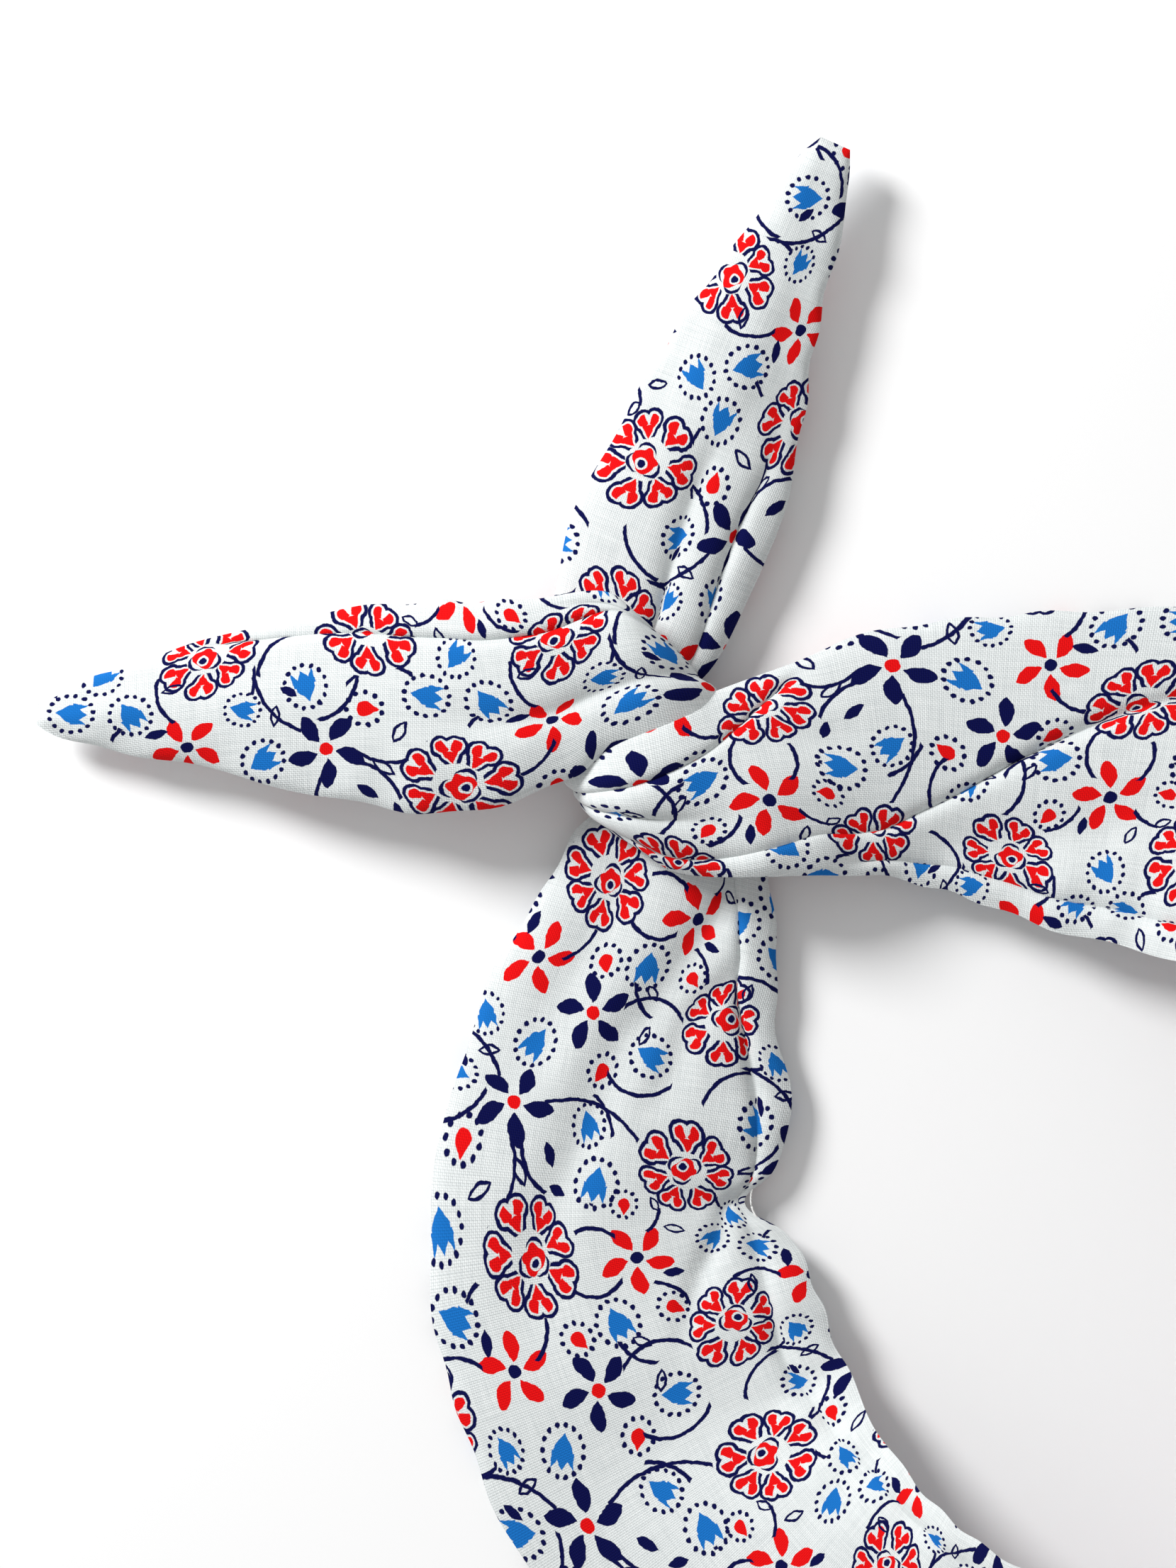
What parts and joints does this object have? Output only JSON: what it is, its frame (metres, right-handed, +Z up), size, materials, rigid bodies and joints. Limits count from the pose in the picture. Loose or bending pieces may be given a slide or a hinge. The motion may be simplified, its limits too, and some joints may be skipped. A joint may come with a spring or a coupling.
{
  "type": "knotted headband",
  "caption": "Wired cotton headband, a sewn tube of flower-printed cloth laid in a loop, its tapered ends twisted into a knot with two ears.",
  "frame": {"origin": "middle of the head opening, on the plane that the headband lies on", "axes": "+Z up from the table, +X to the right and +Y away with the knot at the upper left, as the headband lies seen from above"},
  "size_m": [0.3004, 0.3143, 0.0584],
  "materials": {
    "printed_cotton": "plain weave, printed in navy, red and blue",
    "sewing_thread": "twisted",
    "bendable_wire": "dull galvanised",
    "wire_tape": "matte"
  },
  "bodies": {
    "knot": {"lower_band_front_panel": "printed_cotton", "lower_band_back_panel": "printed_cotton", "lower_band_seam_thread": "sewing_thread", "lower_band_wire": "bendable_wire", "right_band_front_panel": "printed_cotton", "right_band_back_panel": "printed_cotton", "right_band_seam_thread": "sewing_thread", "right_band_wire": "bendable_wire"},
    "back_of_loop": {"back_band_front_panel": "printed_cotton", "back_band_back_panel": "printed_cotton", "back_band_seam_thread": "sewing_thread", "back_band_wire": "bendable_wire", "closing_stitches": "sewing_thread"},
    "left_ear": {"left_ear_front_panel": "printed_cotton", "left_ear_back_panel": "printed_cotton", "left_ear_seam_thread": "sewing_thread", "left_ear_wire": "bendable_wire"},
    "left_ear_tip": {"left_ear_tip_front_panel": "printed_cotton", "left_ear_tip_back_panel": "printed_cotton", "left_ear_tip_seam_thread": "sewing_thread", "left_ear_tip_wire": "bendable_wire", "left_ear_tip_wire_tape": "wire_tape"},
    "upper_ear": {"upper_ear_front_panel": "printed_cotton", "upper_ear_back_panel": "printed_cotton", "upper_ear_seam_thread": "sewing_thread", "upper_ear_wire": "bendable_wire"},
    "upper_ear_tip": {"upper_ear_tip_front_panel": "printed_cotton", "upper_ear_tip_back_panel": "printed_cotton", "upper_ear_tip_seam_thread": "sewing_thread", "upper_ear_tip_wire": "bendable_wire", "upper_ear_tip_wire_tape": "wire_tape"}
  },
  "joints": [
    {"name": "left_ear_bend", "type": "hinge", "parent": "knot", "child": "left_ear", "pos_m": [-0.1068, 0.0984, 0.0168], "axis": [0, 1, 0], "range_deg": [-30, 50]},
    {"name": "left_ear_tip_bend", "type": "hinge", "parent": "left_ear", "child": "left_ear_tip", "pos_m": [-0.1463, 0.0983, 0.0101], "axis": [0, 1, 0], "range_deg": [-45, 45]},
    {"name": "upper_ear_bend", "type": "hinge", "parent": "knot", "child": "upper_ear", "pos_m": [-0.0759, 0.1262, 0.0052], "axis": [0.9233, -0.3841, 0], "range_deg": [-30, 50]},
    {"name": "upper_ear_tip_bend", "type": "hinge", "parent": "upper_ear", "child": "upper_ear_tip", "pos_m": [-0.0606, 0.1652, 0.0071], "axis": [0.9166, -0.3998, 0], "range_deg": [-45, 45]},
    {"name": "back_bend", "type": "hinge", "parent": "knot", "child": "back_of_loop", "pos_m": [-0.045, 0.045, 0.0045], "axis": [-0.7071, -0.7071, 0], "range_deg": [-12, 15]}
  ]
}
